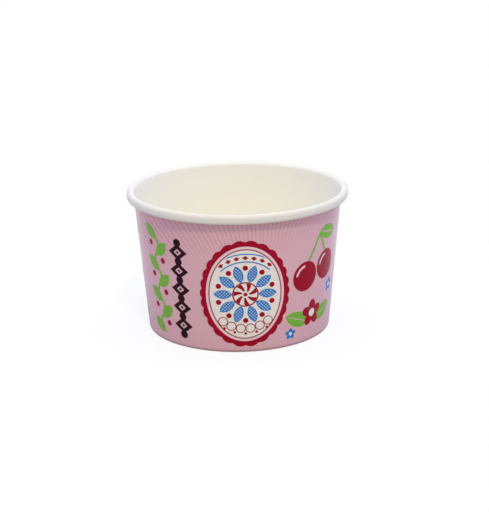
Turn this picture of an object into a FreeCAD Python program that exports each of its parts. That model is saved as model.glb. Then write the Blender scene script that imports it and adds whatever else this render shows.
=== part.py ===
"""A paper dessert cup: a tapered paperboard wall and the paperboard bottom held in its foot.

Millimetres, +Z up. The foot stands on z = 0 with its centre at the origin. The print's front
faces -Y, and the glued side seam runs up the +X side.
"""
import math
import os

import FreeCAD
import Part

# Driving dimensions
rim_diameter = 95.0
base_diameter = 79.0
cup_height = 61.0
board = 0.36
bottom_board = 0.30
roll_width = 3.2
roll_height = 3.9
roll_gap = 0.10
roll_tail = 0.40
fold_inside = 0.02
fold_height = 5.4
bottom_recess = 6.5
bottom_inside = 0.25
skirt_lift = 0.30
glue_film = 0.02
seam_azimuth = 1.0
seam_overlap = 7.0

os.makedirs("parts", exist_ok=True)


def at(radius, height, azimuth=0.0):
    """The point at a radius and a height, turned round the cup's axis by degrees."""
    turn = math.radians(azimuth)
    return FreeCAD.Vector(radius * math.cos(turn), radius * math.sin(turn), height)


class Strip:
    """A board seen edge on, in the plane of radius and height.

    Its middle line is drawn by running straight and by bending. Each step adds an edge to
    both sides of the board, and face() closes them with the two raw ends.
    """

    def __init__(self, radius, height, heading, thickness, azimuth=0.0):
        self.radius = radius
        self.height = height
        self.heading = heading
        self.half = thickness / 2
        self.azimuth = azimuth
        self.left = []
        self.right = []
        self.start = self.sides()

    def sides(self):
        across = math.radians(self.heading + 90)
        points = []
        for offset in (self.half, -self.half):
            radius = self.radius + offset * math.cos(across)
            height = self.height + offset * math.sin(across)
            points.append(at(radius, height, self.azimuth))
        return points

    def forward(self, length):
        way = math.radians(self.heading)
        self.radius += length * math.cos(way)
        self.height += length * math.sin(way)

    def run(self, length):
        before = self.sides()
        self.forward(length)
        after = self.sides()
        self.left.append(Part.LineSegment(before[0], after[0]).toShape())
        self.right.append(Part.LineSegment(before[1], after[1]).toShape())

    def bend(self, angle, radius):
        """Turns by an angle, left if it is positive, round a middle line of this radius."""
        chord = 2 * radius * math.sin(math.radians(abs(angle) / 4))
        stops = [self.sides()]
        for half in range(2):
            self.heading += angle / 4
            self.forward(chord)
            self.heading += angle / 4
            stops.append(self.sides())
        self.left.append(Part.Arc(stops[0][0], stops[1][0], stops[2][0]).toShape())
        self.right.append(Part.Arc(stops[0][1], stops[1][1], stops[2][1]).toShape())

    def wire(self):
        end = self.sides()
        first = Part.LineSegment(self.start[1], self.start[0]).toShape()
        last = Part.LineSegment(end[0], end[1]).toShape()
        return Part.Wire([first] + self.left + [last] + self.right[::-1])

    def face(self):
        return Part.Face(self.wire())


def spun(face, degrees):
    return face.revolve(at(0, 0), FreeCAD.Vector(0, 0, 1), degrees)


# The rim's roll: radii of its three turns, each inside the one before
rim_radius = rim_diameter / 2
base_radius = base_diameter / 2
outer_turn = (roll_width - board) / 2
roll_centre = rim_radius - board / 2 - outer_turn
roll_middle = cup_height - board / 2 - outer_turn
taper = 5.0
drop = 0.5
for step in range(20):
    slope = math.radians(taper)
    foot_line = base_radius - board / (2 * math.cos(slope))
    wall_top = roll_centre - outer_turn * math.cos(slope)
    wall_end = roll_middle + outer_turn * math.sin(slope)
    taper = math.degrees(math.atan2(wall_top - foot_line, wall_end))
    free = roll_centre + outer_turn - wall_top
    second_turn = (free - board / 2 * (1 + 1 / math.cos(slope)) - roll_gap) / 2
    drop = roll_height - board - outer_turn - second_turn
third_turn = second_turn - (board + roll_gap) / 2
inner_rise = drop + outer_turn - third_turn - board - roll_gap
roll_underside = roll_middle - drop - second_turn - board / 2
slope = math.radians(taper)


def wall_line(height):
    """The radius of the middle of the wall's board at a height."""
    return foot_line + height * math.tan(slope)


# Wall: down the fold inside the foot, round the foot, up the taper and into the roll
foot_bend = fold_inside + board / 2
fold_step = (board + bottom_board + 2 * glue_film) / math.cos(slope)
in_corner = foot_bend * math.tan(math.radians(90 + taper) / 2)
out_corner = foot_bend * math.tan(math.radians(90 - taper) / 2)
side = Strip(wall_line(fold_height) - fold_step, fold_height, 270 - taper, board)
side.run((fold_height - board / 2) / math.cos(slope) - in_corner)
side.bend(90 + taper, foot_bend)
side.run(fold_step - in_corner - out_corner)
side.bend(90 - taper, foot_bend)
side.run((wall_end - board / 2) / math.cos(slope) - out_corner)
side.bend(taper - 180, outer_turn)
side.run(drop)
side.bend(-180, second_turn)
side.run(inner_rise)
side.bend(-180, third_turn)
side.run(roll_tail)
wall = spun(side.face(), 360)

# Side seam: the outer layer climbs over the inner layer's edge, then lies on top of it
middle_radius = (base_radius + rim_radius) / 2
overlap_angle = math.degrees(seam_overlap / middle_radius)
ramp_angle = math.degrees(math.acos(middle_radius / (middle_radius + board)))
lead = board / 4
sunk = board / 20


def outer_layer(rise, azimuth):
    """The outer layer seen edge on, its outer face at this rise above the wall's outer face.

    Its inner face lies at the middle of the wall's board, so that the two join with no gap.
    """
    thick = rise + board / 2
    out = board / 2 + rise - thick / 2
    line = foot_line + out / math.cos(slope)
    corner = thick / 2 + fold_inside
    tangent = corner * math.tan(math.radians(90 - taper) / 2)
    foot = line + thick / 2 * math.tan(slope)
    strip = Strip(foot - tangent - lead, thick / 2, 0, thick, azimuth)
    strip.run(lead)
    strip.bend(90 - taper, corner)
    strip.run((roll_underside + board - thick / 2) / math.cos(slope) - tangent)
    return strip


lapped = spun(outer_layer(board, seam_azimuth).face(), overlap_angle)
ramp_ends = [
    outer_layer(-sunk, seam_azimuth - ramp_angle).wire(),
    outer_layer(board, seam_azimuth).wire(),
]
ramp = Part.makeLoft(ramp_ends, True, True)


def pocket_end(depth, azimuth):
    """A section of the space between the climbing layer and the inner layer's edge."""
    corners = []
    for height in (bottom_recess + lead, wall_end - board):
        inner = wall_line(height) - board / 2 / math.cos(slope)
        outer = inner + depth
        corners.append((at(inner - 3 * board, height, azimuth), at(outer, height, azimuth)))
    low, high = corners
    return Part.makePolygon([low[0], low[1], high[1], high[0], low[0]])


pocket_ends = [
    pocket_end(-sunk, seam_azimuth - ramp_angle),
    pocket_end(board, seam_azimuth),
]
pocket = Part.makeLoft(pocket_ends, True, True)
side_wall = wall.fuse([lapped, ramp]).cut(pocket).removeSplitter()

# Bottom: a flat disc whose edge turns down between the wall and the fold
skirt_gap = (board / 2 + glue_film + bottom_board / 2) / math.cos(slope)
disc_level = bottom_recess - bottom_board / 2
bottom_bend = bottom_inside + bottom_board / 2
disc_corner = bottom_bend * math.tan(math.radians(90 + taper) / 2)
skirt_top = wall_line(disc_level) - skirt_gap
disc = Strip(0, disc_level, 0, bottom_board)
disc.run(skirt_top - disc_corner)
disc.bend(-90 - taper, bottom_bend)
disc.run((disc_level - board - skirt_lift) / math.cos(slope) - disc_corner)
bottom_disc = spun(disc.face(), 360)

pieces = {"side_wall": side_wall, "bottom_disc": bottom_disc}
for name, shape in pieces.items():
    box = shape.optimalBoundingBox()
    solids = len(shape.Solids)
    print(name, "valid", shape.isValid(), "solids", solids, "volume", round(shape.Volume, 1))
    print("  x", round(box.XMin, 3), round(box.XMax, 3), "z", round(box.ZMin, 3), round(box.ZMax, 3))
    shape.exportStep("parts/" + name + ".step")
print("taper", round(taper, 3), "drop", round(drop, 3), "second turn", round(second_turn, 3))
print("lowest of the roll", round(roll_underside, 3), "fold step", round(fold_step, 3))
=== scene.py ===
# %% [markdown]
# # A paper dessert cup
#
# The real cup is made of two pieces of coated paperboard. The side is a flat printed blank
# that is wrapped round, glued in one overlapping seam, rolled outwards at the top and folded
# in at the foot. The bottom is a disc whose turned-down edge is held in that fold.
#
# Its solids could be dressed as they are, but then the print would have nothing flat to lie
# on. So each piece is made again here as a sheet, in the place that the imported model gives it.

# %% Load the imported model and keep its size
import math

import bmesh
import bpy
from mathutils import Matrix, Vector


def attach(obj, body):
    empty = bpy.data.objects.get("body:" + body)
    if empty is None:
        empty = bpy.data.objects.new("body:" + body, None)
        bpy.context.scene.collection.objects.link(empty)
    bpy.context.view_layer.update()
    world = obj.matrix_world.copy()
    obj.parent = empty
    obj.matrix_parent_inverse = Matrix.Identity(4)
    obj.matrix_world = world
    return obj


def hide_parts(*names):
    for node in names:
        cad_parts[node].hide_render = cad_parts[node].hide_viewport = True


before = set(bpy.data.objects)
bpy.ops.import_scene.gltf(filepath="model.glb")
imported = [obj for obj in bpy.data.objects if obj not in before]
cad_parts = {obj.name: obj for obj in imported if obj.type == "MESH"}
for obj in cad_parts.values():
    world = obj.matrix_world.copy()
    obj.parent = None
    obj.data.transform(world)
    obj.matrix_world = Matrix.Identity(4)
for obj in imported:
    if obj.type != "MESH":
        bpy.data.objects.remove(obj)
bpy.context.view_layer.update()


# %% [markdown]
# ## Sizes
#
# All lengths are in millimetres, as a packaging drawing has them, and become metres when a
# mesh is finished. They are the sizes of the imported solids.

# %% Name the cup's sizes
MM = 0.001
RIM_RADIUS = 47.5
BASE_RADIUS = 39.5
CUP_HEIGHT = 61.0
BOARD = 0.36
BOTTOM_BOARD = 0.30
ROLL_WIDTH = 3.2
ROLL_HEIGHT = 3.9
ROLL_GAP = 0.10
ROLL_TAIL = 0.40
FOLD_INSIDE = 0.02
FOLD_HEIGHT = 5.4
BOTTOM_RECESS = 6.5
BOTTOM_INSIDE = 0.25
SKIRT_LIFT = 0.30
GLUE_FILM = 0.02
SEAM_AZIMUTH = 1.0
SEAM_OVERLAP = 7.0
print("a cup", 2 * RIM_RADIUS, "mm wide and", CUP_HEIGHT, "mm tall")

# %% [markdown]
# ## The section of a folded board
#
# Seen edge on, both boards are lines that run straight and bend, so a small turtle draws
# them: it walks along the middle of the board in the plane of radius and height. Each station
# that it leaves holds the radius, the height, the direction of the printed side and the
# distance walked, which is later the height on the flat blank.

# %% Walk along a board's section
class Section:
    """A board seen edge on, as the line that its middle walks."""

    def __init__(self, radius, height, heading):
        self.radius = radius
        self.height = height
        self.heading = heading
        self.walked = 0.0
        self.stations = []
        self.mark()

    def mark(self):
        across = math.radians(self.heading - 90)
        normal = (math.cos(across), math.sin(across))
        self.stations.append((self.radius, self.height, normal, self.walked))

    def forward(self, length):
        way = math.radians(self.heading)
        self.radius += length * math.cos(way)
        self.height += length * math.sin(way)

    def run(self, length, steps=1):
        for step in range(steps):
            self.forward(length / steps)
            self.walked += length / steps
            self.mark()

    def bend(self, angle, radius, steps):
        part = angle / steps
        chord = 2 * radius * math.sin(math.radians(abs(part) / 2))
        for step in range(steps):
            self.heading += part / 2
            self.forward(chord)
            self.heading += part / 2
            self.walked += radius * math.radians(abs(part))
            self.mark()


quarter = Section(0.0, 0.0, 0.0)
quarter.bend(90, 1.0, steps=8)
print("a quarter turn of radius 1 walks", round(quarter.walked, 3))

# %% [markdown]
# ## The rolled rim and the taper
#
# The roll's three turns lie inside each other, and the wall has to reach from the foot to the
# first of them. Its taper depends on where that turn starts, which depends on the taper, so a
# few rounds of the same sums settle both.

# %% Work out the taper and the roll
SETTLING_ROUNDS = 20
outer_turn = (ROLL_WIDTH - BOARD) / 2
roll_centre = RIM_RADIUS - BOARD / 2 - outer_turn
roll_middle = CUP_HEIGHT - BOARD / 2 - outer_turn
taper = 5.0
for settle in range(SETTLING_ROUNDS):
    slope = math.radians(taper)
    foot_line = BASE_RADIUS - BOARD / (2 * math.cos(slope))
    wall_top = roll_centre - outer_turn * math.cos(slope)
    wall_end = roll_middle + outer_turn * math.sin(slope)
    taper = math.degrees(math.atan2(wall_top - foot_line, wall_end))
free = roll_centre + outer_turn - wall_top
second_turn = (free - BOARD / 2 * (1 + 1 / math.cos(slope)) - ROLL_GAP) / 2
drop = ROLL_HEIGHT - BOARD - outer_turn - second_turn
third_turn = second_turn - (BOARD + ROLL_GAP) / 2
inner_rise = drop + outer_turn - third_turn - BOARD - ROLL_GAP
print("taper", round(taper, 2), "degrees, wall ends at", round(wall_end, 2), "mm")


def wall_line(height):
    """The radius of the middle of the wall's board at a height."""
    return foot_line + height * math.tan(slope)


# %% Draw the side wall's section
foot_bend = FOLD_INSIDE + BOARD / 2
fold_step = (BOARD + BOTTOM_BOARD + 2 * GLUE_FILM) / math.cos(slope)
in_corner = foot_bend * math.tan(math.radians(90 + taper) / 2)
out_corner = foot_bend * math.tan(math.radians(90 - taper) / 2)
side = Section(wall_line(FOLD_HEIGHT) - fold_step, FOLD_HEIGHT, 270 - taper)
side.run((FOLD_HEIGHT - BOARD / 2) / math.cos(slope) - in_corner, steps=4)
side.bend(90 + taper, foot_bend, steps=5)
side.run(fold_step - in_corner - out_corner)
side.bend(90 - taper, foot_bend, steps=5)
foot_rows = len(side.stations)
foot_walked = side.walked
side.run((wall_end - BOARD / 2) / math.cos(slope) - out_corner, steps=26)
roll_rows = len(side.stations)
side.bend(taper - 180, outer_turn, steps=16)
side.run(drop, steps=2)
side.bend(-180, second_turn, steps=14)
side.run(inner_rise)
side.bend(-180, third_turn, steps=9)
side.run(ROLL_TAIL)
print("the blank is", round(side.walked, 1), "mm tall, in", len(side.stations), "rows")

# %% [markdown]
# ## Wrapping the blank
#
# A cup's side could be spun round an axis, but a spun wall closes on itself and has no seam.
# The real one starts at the inner layer's raw edge, goes all the way round, climbs over that
# edge in a straight ramp and ends on top of it. So the sheet starts as a flat grid with one
# column per step round the cup, and every corner of it moves to its rolled place. Over the
# upper part of the wall the two layers are pressed nearly flat, as they have to be before the
# rim can be rolled, so the seam hardly shows there.

# %% Place the columns round the cup
middle_radius = (BASE_RADIUS + RIM_RADIUS) / 2
ramp = math.degrees(math.acos(middle_radius / (middle_radius + BOARD)))
overlap = math.degrees(SEAM_OVERLAP / middle_radius)
zones = ((overlap, 6), (overlap + ramp, 5), (360 - ramp, 164), (360, 7), (360 + overlap, 6))
wraps = [0.0]
for end, steps in zones:
    begin = wraps[-1]
    wraps += [begin + (end - begin) * (step + 1) / steps for step in range(steps)]
print("ramp", round(ramp, 2), "overlap", round(overlap, 2), "degrees,", len(wraps), "columns")

# %% Find how far one layer lies over the other
PRESSED_SHARE = 0.8
PRESSED_ROWS = 14
ROWS_BELOW_ROLL = 12


def climbed(angle):
    """How far a straight ramp has left the round wall, an angle after it started."""
    return middle_radius * (1 / math.cos(math.radians(angle)) - 1)


def layer_offset(wrap, row, normal):
    """How far the board lies outside its plain place, where one layer lies over another."""
    into_press = (row - roll_rows + ROWS_BELOW_ROLL) / PRESSED_ROWS
    pressed = 1 - PRESSED_SHARE * min(1.0, max(0.0, into_press))
    under = 0.0
    if row <= foot_rows:
        under = max(0.0, -normal[1])
    if wrap <= overlap:
        return -BOARD * under
    if wrap <= overlap + ramp:
        return -(BOARD - climbed(wrap - overlap)) * under
    if wrap >= 360:
        return BOARD * (1 - under) * pressed
    if wrap >= 360 - ramp:
        return climbed(wrap - 360 + ramp) * (1 - under) * pressed
    return 0.0


upright = (1.0, 0.0)
print("the outer layer lies", layer_offset(360, foot_rows, upright), "mm out above the foot")
print("and", round(layer_offset(360, roll_rows + 2, upright), 3), "mm out in the roll")

# %% [markdown]
# A formed cup is never quite round or level. It could be dented by hand, but a few low waves
# that run round it and grow towards the rim are enough to make its highlights wander a little.

# %% Make the cup a little uneven
OUTWARD_WAVES = ((0.06, 2, 0.7), (0.05, 3, 2.1), (0.02, 9, 0.0))
UPWARD_WAVES = ((0.05, 2, 1.9), (0.03, 5, 0.4))


def rippled(waves, turn):
    """The sum of some waves round the cup, each a height, a number and a start."""
    return sum(high * math.sin(number * turn + start) for high, number, start in waves)


def unevenness(azimuth, height):
    """The slight unevenness of a formed cup, outwards and upwards, in millimetres."""
    turn = math.radians(azimuth)
    lift = max(0.0, height / CUP_HEIGHT) ** 2
    return rippled(OUTWARD_WAVES, turn) * lift, rippled(UPWARD_WAVES, turn) * lift


rim_outs = [unevenness(azimuth, CUP_HEIGHT)[0] for azimuth in range(360)]
print("the rim leaves its circle by", round(min(rim_outs), 3), "to", round(max(rim_outs), 3), "mm")

# %% Roll the side wall from its flat grid
def flat_sheet(columns, rows):
    """A flat grid as a bmesh, with the column and row of each of its corners."""
    sheet = bmesh.new()
    bmesh.ops.create_grid(sheet, x_segments=columns - 1, y_segments=rows - 1, size=1.0)
    spots = {}
    for corner in sheet.verts:
        column = round((corner.co.x + 1) / 2 * (columns - 1))
        row = round((corner.co.y + 1) / 2 * (rows - 1))
        spots[corner] = (column, row)
    return sheet, spots


def rolled_side():
    sheet, spots = flat_sheet(len(wraps), len(side.stations))
    blank = sheet.loops.layers.uv.new("blank")
    for face in sheet.faces:
        for loop in face.loops:
            column, row = spots[loop.vert]
            azimuth = SEAM_AZIMUTH + wraps[column]
            across = math.radians(azimuth - 270) * middle_radius
            loop[blank].uv = (across, side.stations[row][3] - foot_walked)
    for corner in sheet.verts:
        column, row = spots[corner]
        radius, height, normal = side.stations[row][:3]
        offset = layer_offset(wraps[column], row, normal)
        azimuth = SEAM_AZIMUTH + wraps[column]
        out, up = unevenness(azimuth, height)
        radius += offset * normal[0] + out
        height = max(height + offset * normal[1] + up, BOARD / 2)
        turn = math.radians(azimuth)
        corner.co = Vector((radius * math.cos(turn), radius * math.sin(turn), height)) * MM
    sheet.normal_update()
    wall_middle = Vector((0, -middle_radius, CUP_HEIGHT / 2)) * MM
    front = min(sheet.faces, key=lambda face: (face.calc_center_median() - wall_middle).length)
    if front.normal.y > 0:
        bmesh.ops.reverse_faces(sheet, faces=sheet.faces)
    return sheet


side_sheet = rolled_side()
print("the rolled sheet has", len(side_sheet.faces), "faces")

# %% [markdown]
# ## The bottom disc
#
# This board has no seam, so its section is spun round the axis: flat across, a tight bend,
# and a skirt that hangs beside the wall. The middle of the spin closes to one point.

# %% Spin the bottom disc
skirt_gap = (BOARD / 2 + GLUE_FILM + BOTTOM_BOARD / 2) / math.cos(slope)
disc_level = BOTTOM_RECESS - BOTTOM_BOARD / 2
bottom_bend = BOTTOM_INSIDE + BOTTOM_BOARD / 2
disc_corner = bottom_bend * math.tan(math.radians(90 + taper) / 2)
disc = Section(0.0, disc_level, 0)
disc.run(wall_line(disc_level) - skirt_gap - disc_corner, steps=14)
disc.bend(-90 - taper, bottom_bend, steps=7)
disc.run((disc_level - BOARD - SKIRT_LIFT) / math.cos(slope) - disc_corner, steps=3)


def settle_order(elements):
    """Puts edges or faces in one order, because the spin leaves them in another each run."""
    ranked = sorted(elements, key=lambda element: sorted(end.index for end in element.verts))
    ranks = {element: rank for rank, element in enumerate(ranked)}
    elements.sort(key=ranks.get)


def spun_disc():
    sheet = bmesh.new()
    line = [sheet.verts.new(Vector((place[0], 0, place[1])) * MM) for place in disc.stations]
    for one, other in zip(line, line[1:]):
        sheet.edges.new((one, other))
    bmesh.ops.spin(
        sheet,
        geom=sheet.verts[:] + sheet.edges[:],
        cent=(0, 0, 0),
        axis=(0, 0, 1),
        angle=math.tau,
        steps=144,
        use_merge=True,
    )
    bmesh.ops.remove_doubles(sheet, verts=sheet.verts, dist=1e-6)
    bmesh.ops.dissolve_degenerate(sheet, dist=1e-7, edges=sheet.edges)
    sheet.verts.index_update()
    settle_order(sheet.edges)
    settle_order(sheet.faces)
    bmesh.ops.recalc_face_normals(sheet, faces=sheet.faces)
    top = min(sheet.faces, key=lambda face: face.calc_center_median().length)
    if top.normal.z < 0:
        bmesh.ops.reverse_faces(sheet, faces=sheet.faces)
    return sheet


disc_sheet = spun_disc()
print("the disc has", len(disc_sheet.faces), "faces")

# %% [markdown]
# ## From sheet to board
#
# A sheet gets its thickness last, with a Solidify modifier that is applied at once. The
# modifier keeps the printed side's material, gives the other side the next one and the cut
# edges the one after that, which is just how a laminated board is built.

# %% Give a sheet its thickness
SHARP_FROM = math.radians(40)


def thickened(name, sheet, thickness, materials):
    mesh = bpy.data.meshes.new(name)
    sheet.to_mesh(mesh)
    sheet.free()
    piece = bpy.data.objects.new(name, mesh)
    bpy.context.scene.collection.objects.link(piece)
    for material in materials:
        mesh.materials.append(material)
    solid = piece.modifiers.new("board", "SOLIDIFY")
    solid.thickness = thickness * MM
    solid.offset = 0.0
    solid.material_offset = 1
    solid.material_offset_rim = 2
    view = bpy.context.evaluated_depsgraph_get()
    thick = bpy.data.meshes.new_from_object(piece.evaluated_get(view))
    piece.modifiers.clear()
    piece.data = thick
    thick.name = name
    thick.polygons.foreach_set("use_smooth", [True] * len(thick.polygons))
    thick.set_sharp_from_angle(angle=SHARP_FROM)
    triangles = sum(len(face.vertices) - 2 for face in thick.polygons)
    print(name, "has", triangles, "triangles")
    return piece


# %% [markdown]
# ## Shader maths in plain Python
#
# A print made of nodes needs hundreds of sums. Clicking them together is slow and hard to
# read, so one small class stands for a number that varies over the surface. Ordinary Python
# operators on it add Math nodes to the material.

# %% Wrap a node socket as a number
class Varying:
    """A number that varies over a surface: one output of a node."""

    def __init__(self, nodes, socket):
        self.nodes = nodes
        self.socket = socket

    def math(self, operation, *others, clamp=False):
        settings = {"operation": operation, "use_clamp": clamp}
        node = self.nodes.node("ShaderNodeMath", settings, [self, *others])
        return Varying(self.nodes, node.outputs[0])

    def __add__(self, other):
        return self.math("ADD", other)

    def __sub__(self, other):
        return self.math("SUBTRACT", other)

    def __rsub__(self, other):
        return self.math("MULTIPLY_ADD", -1.0, other)

    def __mul__(self, other):
        return self.math("MULTIPLY", other)

    def __truediv__(self, other):
        return self.math("DIVIDE", other)

    def __abs__(self):
        return self.math("ABSOLUTE")

    def __neg__(self):
        return self.math("MULTIPLY", -1.0)

    def clamped(self):
        return self.math("ADD", 0.0, clamp=True)


def most(one, other):
    return one.math("MAXIMUM", other)


print("Python's operators on a Varying now add Math nodes")

# %% Build every node with one method
class Nodes:
    """The node tree of a material or a world."""

    def __init__(self, owner):
        owner.use_nodes = True
        self.owner = owner
        self.tree = owner.node_tree
        self.tree.nodes.clear()

    def node(self, kind, settings=None, sockets=()):
        node = self.tree.nodes.new(kind)
        for setting, value in (settings or {}).items():
            setattr(node, setting, value)
        pairs = sockets.items() if isinstance(sockets, dict) else enumerate(sockets)
        for key, value in pairs:
            if isinstance(value, Varying):
                self.tree.links.new(value.socket, node.inputs[key])
            elif value is not None:
                node.inputs[key].default_value = value
        return node

    def made(self, kind, settings=None, sockets=(), key=0):
        """A new node's output."""
        return Varying(self, self.node(kind, settings, sockets).outputs[key])

    def split(self, place):
        """The three numbers of a place."""
        node = self.node("ShaderNodeSeparateXYZ", None, [place])
        return [Varying(self, socket) for socket in node.outputs]

    def noise(self, place, size, detail=2.0):
        """Noise from 0 to 1 whose patches are about this many metres across."""
        sockets = {"Vector": place, "Scale": 1 / size, "Detail": detail}
        return self.made("ShaderNodeTexNoise", None, sockets)

    def paint(self, under, colour, mask):
        """Lays a colour over another where the mask is 1."""
        settings = {"data_type": "RGBA", "blend_type": "MIX"}
        return self.made("ShaderNodeMix", settings, {0: mask, 6: under, 7: colour}, 2)

    def bumps(self, heights, distance, strength):
        sockets = {"Height": heights, "Distance": distance, "Strength": strength}
        return self.made("ShaderNodeBump", None, sockets)

    def surface(self, sockets):
        """Ends a material in one Principled shader."""
        shader = self.made("ShaderNodeBsdfPrincipled", None, sockets)
        self.node("ShaderNodeOutputMaterial", None, [shader])
        return self.owner


def new_material(name):
    return Nodes(bpy.data.materials.new(name))


def ink(red, green, blue):
    """A colour given as it looks on a screen, from 0 to 255, made linear for the shader."""
    parts = []
    for level in (red, green, blue):
        share = level / 255
        parts.append(share / 12.92 if share <= 0.04045 else ((share + 0.055) / 1.055) ** 2.4)
    return (*parts, 1.0)


print("half way up the screen's scale is", round(ink(128, 128, 128)[0], 3), "in linear light")

# %% [markdown]
# ## The print
#
# The outside is pink with fine rays and bold flat motifs in crimson, green, blue and a plum
# that is nearly black. A picture could be wrapped round the cup, but drawn shapes stay sharp
# at any size. Each shape is a distance in millimetres on the flat blank, negative inside the
# shape, and the ink goes where that distance is below zero.

# %% Choose the inks
PINK = ink(224, 178, 182)
PALE_PINK = ink(236, 206, 206)
RAY = ink(180, 118, 128)
CREAM = ink(238, 232, 217)
CRIMSON = ink(161, 0, 34)
BLUE = ink(40, 125, 192)
GREEN = ink(124, 181, 60)
PLUM = ink(38, 0, 12)
print("the ground's pink is", [round(part, 3) for part in PINK[:3]])

# %% Measure distances to shapes
SOFT_EDGE = 0.16


def inside(distance):
    """1 inside a shape and 0 outside it, with an edge as soft as print on board."""
    return distance.math("MULTIPLY_ADD", -1 / SOFT_EDGE, 0.5, clamp=True)


def length(x, y):
    return (x * x + y * y).math("SQRT")


def spot(x, y, radius):
    return length(x, y) - radius


def line(distance, half_width):
    """The outline of a shape, as a shape of its own."""
    return abs(distance) - half_width


def oval(x, y, half_wide, half_tall):
    near = length(x / half_wide, y / half_tall)
    steep = length(x / half_wide**2, y / half_tall**2)
    return near * (near - 1) / steep


def turned(x, y, degrees):
    """The same place seen from axes that are turned by these degrees."""
    cosine, sine = math.cos(math.radians(degrees)), math.sin(math.radians(degrees))
    return x * cosine + y * sine, y * cosine - x * sine


def leaf(x, y, half_long, half_wide):
    """A pointed leaf along x, the shape where two equal circles meet."""
    radius = (half_long**2 + half_wide**2) / (2 * half_wide)
    return length(x, abs(y) + (radius - half_wide)) - radius


def diamond(x, y, half_wide, half_tall):
    size = half_wide * half_tall / math.hypot(half_wide, half_tall)
    return (abs(x) / half_wide + abs(y) / half_tall - 1) * size


def stroke(x, y, start, end, half_width):
    """A straight stroke with round ends."""
    along = (end[0] - start[0], end[1] - start[1])
    size = along[0] ** 2 + along[1] ** 2
    x = x - start[0]
    y = y - start[1]
    share = (x * (along[0] / size) + y * (along[1] / size)).clamped()
    return length(x - share * along[0], y - share * along[1]) - half_width


print("the edge of a printed shape fades over", SOFT_EDGE, "mm")

# %% [markdown]
# The blank's UV map gives each point of the wall its place in millimetres, which is all that
# a drawn shape needs. The real cup is printed alike on both faces. Wrap folds the way round
# the cup into the width of one face, so each motif is drawn once and printed twice.

# %% Find the place on the blank
printed = new_material("printed_side")
blank_place = printed.made("ShaderNodeUVMap", {"uv_map": "blank"})
across, upwards = printed.split(blank_place)[:2]
wall_radius = upwards * math.sin(slope) + BASE_RADIUS
FACES_APART = math.pi * middle_radius


def place_from(centre_across, centre_up):
    """The place in millimetres from a motif's centre. Each motif is on both faces of the cup."""
    near = (across - centre_across).math("WRAP", FACES_APART / 2, -FACES_APART / 2)
    return near * wall_radius / middle_radius, upwards - centre_up


def folded(swing, spread, copies, shift=0.0):
    """A place along and beside the nearest of some copies of a shape round a centre."""
    turn = (swing * (copies / math.tau) + shift).math("FRACT") - 0.5
    turn = turn * (math.tau / copies)
    return spread * turn.math("COSINE"), spread * turn.math("SINE")


print("each motif comes twice,", round(FACES_APART, 1), "mm apart")

# %% [markdown]
# The ground is one flat pink, and its rays spread from a point low on each face. Each of them
# could be a stroke of its own, but the cosine of the angle round that point draws them all at
# once. They fade towards the foot and the sides, and a little noise makes them uneven.

# %% Print the pink ground and the rays
RAYS = 157
RAYS_BEGIN = 29
RAYS_LEAN = 0.18
RAYS_RISE = 13
RAYS_SIDE = 68
RAYS_SIDE_FADE = 14
x, y = place_from(8.75, 11)
beams = ((x.math("ARCTAN2", y) * RAYS).math("COSINE") - 0.1).math("MULTIPLY", 1.5, clamp=True)
risen = ((y - (x * RAYS_LEAN + RAYS_BEGIN)) / RAYS_RISE).clamped()
faded = risen * ((RAYS_SIDE - abs(x)) / RAYS_SIDE_FADE).clamped()
cloud = printed.noise(printed.made("ShaderNodeTexCoord", key="Object"), 0.02)
strength = faded * (cloud * 0.20 + 0.25)
layers = [printed.paint(PINK, RAY, beams * strength)]


def add(ink_colour, distance):
    """Prints one more shape over the layers so far."""
    layers.append(printed.paint(layers[-1], ink_colour, inside(distance)))


def woven(x, y, fineness):
    """1 in the gaps of a fine weave and 0 on its threads."""
    weave = (x * fineness).math("SINE") * (y * fineness).math("SINE")
    return (weave * 1.2 - 0.2).clamped()


print(RAYS, "rays would go all the way round their centre")

# %% [markdown]
# The medallion is the largest motif of a face: a scalloped crimson oval with a cream field,
# and in it a rosette between two narrow bands. Its petals and dots could be placed one by one,
# but folding the angle round the centre repeats one of them as often as is wanted.

# %% Print the medallion's border
HALF_WIDE = 18.4
HALF_TALL = 23.0
SCALLOPS = 26
x, y = place_from(2.8, 25.8)
swing = x.math("ARCTAN2", y)
spread = length(x, y)
scallops = abs((swing * (SCALLOPS / 2)).math("SINE")) * -0.8
field = oval(x, y, HALF_WIDE, HALF_TALL)
add(CRIMSON, field + scallops)
add(PALE_PINK, field + 1.9)
add(CRIMSON, field + 3.0)
add(CREAM, field + 3.5)
print("the medallion is", 2 * HALF_WIDE, "mm wide and", 2 * HALF_TALL, "mm tall")

# %% Print the rosette in the medallion
PETALS = 10
BLADES = 7
along, beside = folded(swing, spread, PETALS)
petal = leaf(along - 9.3, beside, 3.9, 1.95)
add(printed.paint(BLUE, CREAM, woven(x, y, 4.6)), petal)
add(BLUE, line(petal + 0.2, 0.2))
along, beside = folded(swing, spread, PETALS, 0.5)
add(CRIMSON, spot(along - 11.7, beside, 1.15))
blades = (swing * BLADES + spread * 0.55).math("SINE") * spread / BLADES
add(CRIMSON, most(spread - 4.9, blades))
add(CRIMSON, line(spread - 5.2, 0.3))
add(CREAM, spread - 1.5)
add(CRIMSON, spread - 0.85)
print("the rosette has", PETALS, "petals, and the print has", len(layers), "layers so far")

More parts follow.
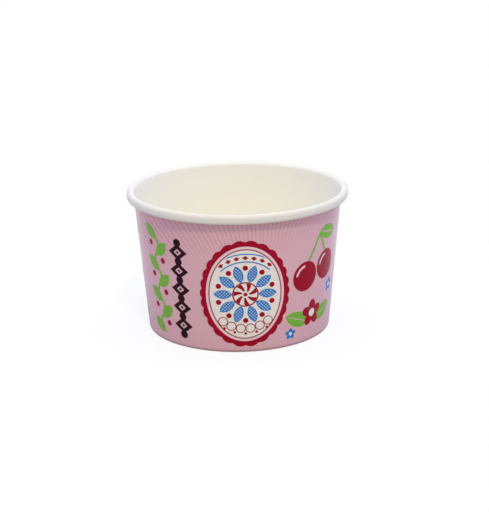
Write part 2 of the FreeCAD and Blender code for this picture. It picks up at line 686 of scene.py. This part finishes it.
# %% Print the bands above and below the rosette
top = most(abs(x) - y, field + 3.9)
for radius in (14.4, 17.8):
    add(BLUE, most(line(spread - radius, 0.26), top))
along, beside = folded(swing, spread, 28, 0.5)
add(CRIMSON, most(diamond(along - 16.1, beside, 0.95, 1.35), top))
bottom = abs(x) + y
along, beside = folded(swing, spread, 24)
add(CRIMSON, most(line(spot(along - 15.4, beside, 1.9), 0.2), bottom))
along, beside = folded(swing, spread, 24, 0.5)
add(CRIMSON, most(spot(along - 17.6, beside, 0.6), bottom + 1.0))
print("with its bands there are", len(layers), "layers")

# %% [markdown]
# Smaller motifs stand round the medallion: a pair of cherries, blossoms with leaves, a chain
# of diamonds and a climbing vine. The chain and the vine repeat up the wall, so Wrap folds
# them too, and a mask ends them after whole copies. A diamond between two blossoms fills the
# space between the faces.

# %% Print the cherries
x, y = place_from(38, 37)
for foot in ((-6.0, -2.0), (6.4, 0.0)):
    add(GREEN, stroke(x, y, foot, (1.2, 10.2), 0.6))
leaf_x, leaf_y = turned(x - 7.4, y - 9.8, -10)
blade = leaf(leaf_x, leaf_y, 6.6, 3.3)
add(GREEN, blade)
add(PINK, most(line(leaf_y, 0.24), blade + 1.0))
for centre_x, centre_y in ((-6.5, -7.0), (7.0, -4.6)):
    cherry_x, cherry_y = x - centre_x, y - centre_y
    cherry = length(cherry_x, cherry_y)
    add(CRIMSON, cherry - 6.6)
    add(PALE_PINK, most(line(cherry - 4.6, 0.5), most(cherry_x + 0.6, -cherry_y + 0.6)))
print("with the cherries there are", len(layers), "layers")


# %% Print the blossoms and their leaves
def blossom(centre_across, centre_up, size, tint):
    """A flat flower with five petals."""
    x, y = place_from(centre_across, centre_up)
    swing = x.math("ARCTAN2", y)
    notch = abs((swing * 2.5).math("COSINE")) * -0.42 + 0.42
    add(tint, length(x, y) - size + notch * size)
    add(CREAM, length(x, y) - size * 0.3)


def leaf_pair(centre_across, centre_up, half_long):
    """Two leaves that spread from under a flower."""
    x, y = place_from(centre_across, centre_up)
    leaf_x, leaf_y = turned(abs(x) - half_long * 1.2, y, 20)
    blade = leaf(leaf_x, leaf_y, half_long, half_long * 0.5)
    add(GREEN, blade)
    add(PINK, most(line(leaf_y, 0.18), blade + half_long * 0.14))


leaf_pair(37, 11.2, 6.8)
blossom(37, 12.4, 6.0, CRIMSON)
blossom(51, 21.5, 3.2, BLUE)
blossom(24.4, 5.4, 2.6, BLUE)
print("with the blossoms there are", len(layers), "layers")

# %% Print the chain of diamonds
LINKS = 5
LINK_TALL = 8.2
x, y = place_from(-26.8, 26)
link = y.math("WRAP", LINK_TALL / 2, -LINK_TALL / 2)
all_links = line(y, LINKS * LINK_TALL / 2)
for tint, half_wide, half_tall in ((PLUM, 4.6, 3.6), (PINK, 1.9, 1.5), (PLUM, 0.8, 0.65)):
    add(tint, most(diamond(x, link, half_wide, half_tall), all_links))
add(PLUM, most(spot(x, abs(link) - LINK_TALL / 2, 1.8), all_links - 2))
print("the chain is", round(LINKS * LINK_TALL, 1), "mm tall")

# %% Print the vine
WAVE_TALL = 14.0
x, y = place_from(-39.5, 26)
wind = x - (y * (math.tau / WAVE_TALL)).math("SINE") * 1.6
add(GREEN, most(line(wind, 0.7), line(y, 22)))
for side_of, start in ((1, 0.0), (-1, WAVE_TALL / 2)):
    near = (y - start).math("WRAP", WAVE_TALL / 2, -WAVE_TALL / 2)
    leaf_x, leaf_y = turned(x * side_of - 3.0, near - 1.8, 40)
    add(GREEN, most(leaf(leaf_x, leaf_y, 4.5, 2.5), line(y - 1.75, 24.7)))
    add(CRIMSON, most(spot(x * side_of - 3.6, near + 3.2, 1.3), line(y, 22.5)))
print("with the vine there are", len(layers), "layers")

# %% Print the stacked motif between the two faces
BETWEEN_FACES = -66
x, y = place_from(BETWEEN_FACES, 27)
tile = diamond(x, y, 7.2, 10.4)
add(printed.paint(BLUE, PINK, woven(x, y, 3.6)), tile)
add(BLUE, line(tile + 0.3, 0.3))
for centre_up in (46, 8.5):
    leaf_pair(BETWEEN_FACES, centre_up - 0.8, 4.6)
    blossom(BETWEEN_FACES, centre_up, 4.3, CRIMSON)
blossom(BETWEEN_FACES, 27, 3.6, CRIMSON)
print("the print has", len(layers), "layers in", len(printed.tree.nodes), "nodes")

# %% [markdown]
# The varnish over the print is thin and reflects weakly, so that the dark inks stay dark, and
# a little bluish sheen makes the sides of the cup pale. Fibres of the board show through as a
# faint mottle. Along the folded foot, and on the fold turned in under it, painted shade darkens
# the print in a thin line.

# %% Finish the printed side
PAINTED_SHADE_TALL = 0.9
PAINTED_SHADE_LEVEL = 0.51
place = printed.made("ShaderNodeTexCoord", key="Object")
fibre = printed.noise(place, 0.0009, 3.0)
mottle = printed.noise(place, 0.004)
shade = (fibre * 0.5 + mottle * 0.5).math("MULTIPLY_ADD", 0.10, 0.95)
# Painted shade: towards the folded foot the print darkens to 0.51 of its tone, and the fold turned
# in under it stays that dark.
painted_foot_shade = (upwards / PAINTED_SHADE_TALL).clamped()
shade = shade * (painted_foot_shade * (1 - PAINTED_SHADE_LEVEL) + PAINTED_SHADE_LEVEL)
scaling = {"Vector": layers[-1], "Scale": shade}
toned = printed.made("ShaderNodeVectorMath", {"operation": "SCALE"}, scaling)
printed_side = printed.surface(
    {
        "Base Color": toned,
        "Roughness": mottle * 0.08 + 0.20,
        "Specular IOR Level": 0.11,
        "Sheen Weight": 0.2,
        "Sheen Roughness": 0.35,
        "Sheen Tint": ink(198, 206, 255),
        "Normal": printed.bumps(fibre, 0.00002, 0.3),
    }
)
print("the finished printed side has", len(printed.tree.nodes), "nodes")

# %% [markdown]
# ## The white side and the raw edges
#
# The inside carries a thin film, so it is warm white with a soft sheen and hardly any grain.
# On the outer turn of the rolled rim the white is painted a bit greyer, as painted shade.
# The cut edges show bare fibres between the coated faces: duller, rougher and a little darker.

# %% Make the coated and the bare white side
ROLL_SHADE_OVER = 2.4


def white_side(name, colour, dull, painted_roll_shade, rough, grain):
    """White board, painted greyer towards the outside of the rolled rim as painted shade."""
    white = new_material(name)
    place = white.made("ShaderNodeTexCoord", key="Object")
    x, y = white.split(place)[:2]
    fibre = white.noise(place, 0.0011, 3.0)
    cloud = white.noise(place, 0.012)
    tone = white.paint(colour, dull, fibre * 0.3 + cloud * 0.4)
    # Painted shade: the white turns greyer over the outer part of the rolled rim.
    painted_shade_on_roll = ((length(x, y) - wall_top * MM) / (ROLL_SHADE_OVER * MM)).clamped()
    return white.surface(
        {
            "Base Color": white.paint(tone, painted_roll_shade, painted_shade_on_roll),
            "Roughness": cloud * 0.08 + rough,
            "Specular IOR Level": 0.35,
            "Normal": white.bumps(fibre, 0.00002, grain),
        }
    )


coated_white = white_side(
    "coated_white",
    colour=ink(246, 242, 228),
    dull=ink(241, 236, 221),
    # painted shade on the outside of the rolled rim
    painted_roll_shade=ink(227, 222, 207),
    rough=0.42,
    grain=0.25,
)
bare_white = white_side(
    "bare_white",
    colour=ink(232, 227, 214),
    dull=ink(219, 212, 198),
    painted_roll_shade=ink(219, 212, 198),
    rough=0.75,
    grain=0.6,
)
print("two white sides:", coated_white.name, "and", bare_white.name)

# %% Make the raw edge
edge = new_material("raw_edge")
place = edge.made("ShaderNodeTexCoord", key="Object")
fibre = edge.noise(place, 0.00025, 4.0)
plies = edge.noise(place, 0.0016)
cut_edge = edge.surface(
    {
        "Base Color": edge.paint(ink(238, 232, 220), ink(206, 197, 180), fibre * 0.6 + plies * 0.3),
        "Roughness": 0.9,
        "Normal": edge.bumps(fibre, 0.00005, 0.6),
    }
)
print("the cut edges have", cut_edge.name)

# %% Put both boards in place of their solids
cup_side = thickened("cup_side", side_sheet, BOARD, [printed_side, coated_white, cut_edge])
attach(cup_side, "root")
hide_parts("side_wall")

cup_bottom = thickened("cup_bottom", disc_sheet, BOTTOM_BOARD, [coated_white, bare_white, cut_edge])
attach(cup_bottom, "root")
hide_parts("bottom_disc")

# %% [markdown]
# ## Floor, background and light
#
# The cup stands on a plain pale floor. For the camera the floor glows, less so close to the
# cup, so the background stays white without more light on the cup and the floor still takes
# its soft shadow. A glossy surface sees the same white behind the cup, which gives the sides
# of the cup their pale edge, and everything else sees a plain floor of a warm light grey.

# %% Make the floor's material
WHITE = ink(255, 255, 255)
CUP_EDGE = 0.045
GLOW_WIDENS_OVER = 0.12
GLOW_AT_CUP = 0.78
floor_look = new_material("pale_floor")
path = floor_look.node("ShaderNodeLightPath")
seen = Varying(floor_look, path.outputs["Is Camera Ray"])
mirrored = Varying(floor_look, path.outputs["Is Glossy Ray"])
x, y = floor_look.split(floor_look.made("ShaderNodeTexCoord", key="Object"))[:2]
away = ((length(x, y) - CUP_EDGE) / GLOW_WIDENS_OVER).clamped()
behind = (y * 12).clamped()
tone = floor_look.paint(ink(204, 197, 192), ink(250, 250, 250), seen)
matte = floor_look.made("ShaderNodeBsdfDiffuse", None, {"Color": tone})
bright = floor_look.made("ShaderNodeEmission", None, {"Color": WHITE, "Strength": 1.0})
share = seen * (away * (1 - GLOW_AT_CUP) + GLOW_AT_CUP) + mirrored * behind
mixed = floor_look.made("ShaderNodeMixShader", None, [share, matte, bright])
floor_look.node("ShaderNodeOutputMaterial", None, [mixed])
print("beside the cup the camera sees", GLOW_AT_CUP, "of the floor's glow")

# %% Lay the floor
FLOOR_RADIUS = 3.0
sweep = bmesh.new()
bmesh.ops.create_circle(sweep, cap_ends=True, segments=64, radius=FLOOR_RADIUS)
floor_mesh = bpy.data.meshes.new("floor")
sweep.to_mesh(floor_mesh)
sweep.free()
floor_mesh.materials.append(floor_look.owner)
floor = bpy.data.objects.new("floor", floor_mesh)
bpy.context.scene.collection.objects.link(floor)
print("the floor is", 2 * FLOOR_RADIUS, "m across")

# %% [markdown]
# The light is that of a tent: soft white light comes from overhead and bluish light from both
# sides and the back, and one small warm lamp high in front draws the crisp shadow under the
# rim. The camera sees plain white instead of the tent.

# %% Light the world
FROM_ABOVE = 1.08
FROM_RIGHT = 0.92
FROM_LEFT = 0.72
FROM_BEHIND = 0.84
studio = Nodes(bpy.data.worlds.new("white_studio"))
bpy.context.scene.world = studio.owner
x, y, z = studio.split(studio.made("ShaderNodeTexCoord", key="Generated"))
overhead = most(z, 0.0) * FROM_ABOVE
around = most(x, 0.0) * FROM_RIGHT + most(-x, 0.0) * FROM_LEFT + most(y, 0.0) * FROM_BEHIND


def background(colour, strength):
    return studio.made("ShaderNodeBackground", None, {"Color": colour, "Strength": strength})


above = background(ink(254, 250, 252), overhead)
beside = background(ink(160, 186, 255), around)
tent = studio.made("ShaderNodeAddShader", None, [above, beside])
path = studio.node("ShaderNodeLightPath")
seen = Varying(studio, path.outputs["Is Camera Ray"])
mirrored = Varying(studio, path.outputs["Is Glossy Ray"])
share = most(seen, mirrored * (y * 3).clamped())
shown = studio.made("ShaderNodeMixShader", None, [share, tent, background(WHITE, 1.0)])
studio.node("ShaderNodeOutputWorld", None, [shown])
print("the world's light is made by", len(studio.tree.nodes), "nodes")

# %% Hang the lamp
LAMP_AZIMUTH = 8
LAMP_ELEVATION = 52
LAMP_DISTANCE = 1.45
AIM = Vector((0, 0, 0.03))
lamp = bpy.data.lights.new("key", "AREA")
lamp.shape = "DISK"
lamp.size = 0.16
lamp.energy = 6.5
lamp.color = (1.0, 0.955, 0.60)
turn = math.radians(LAMP_AZIMUTH - 90)
rise = math.radians(LAMP_ELEVATION)
way = Vector((math.cos(turn) * math.cos(rise), math.sin(turn) * math.cos(rise), math.sin(rise)))
key = bpy.data.objects.new("key", lamp)
key.location = AIM + way * LAMP_DISTANCE
key.rotation_euler = (-way).to_track_quat("-Z", "Y").to_euler()
bpy.context.scene.collection.objects.link(key)
print("the key hangs", round(key.location.z, 2), "m above the floor")

# %% [markdown]
# ## The camera
#
# The photograph was taken from a little above the rim, through a long lens, and the cup sits
# slightly left of the middle, turned by just under a degree. The angle, distance and lens were
# found by fitting the cup's outline, so the same outline falls in the same place here.

# %% Place the camera
ELEVATION = 17.3
DISTANCE = 0.61
PIXELS_PER_MM = 2.291
ROLL = 0.917
LEFT_OF_MIDDLE = 6.2
ABOVE_MIDDLE = 0.88
TALL = 512

lens = bpy.data.cameras.new("camera")
lens.sensor_width = 36.0
lens.lens = PIXELS_PER_MM * DISTANCE * 1000 * lens.sensor_width / TALL
lens.shift_x = LEFT_OF_MIDDLE / TALL
lens.shift_y = -ABOVE_MIDDLE / TALL
lens.clip_start = 0.01
camera = bpy.data.objects.new("camera", lens)
tilt = math.radians(ELEVATION)
away = Vector((0, -math.cos(tilt), math.sin(tilt)))
facing = (-away).to_track_quat("-Z", "Y").to_matrix().to_4x4()
twist = Matrix.Rotation(-math.radians(ROLL), 4, "Z")
camera.matrix_world = Matrix.Translation(AIM + away * DISTANCE) @ facing @ twist
bpy.context.scene.collection.objects.link(camera)
bpy.context.scene.camera = camera
bpy.context.scene.view_settings.view_transform = "Standard"
print("lens", round(lens.lens, 1), "mm at", DISTANCE, "m")
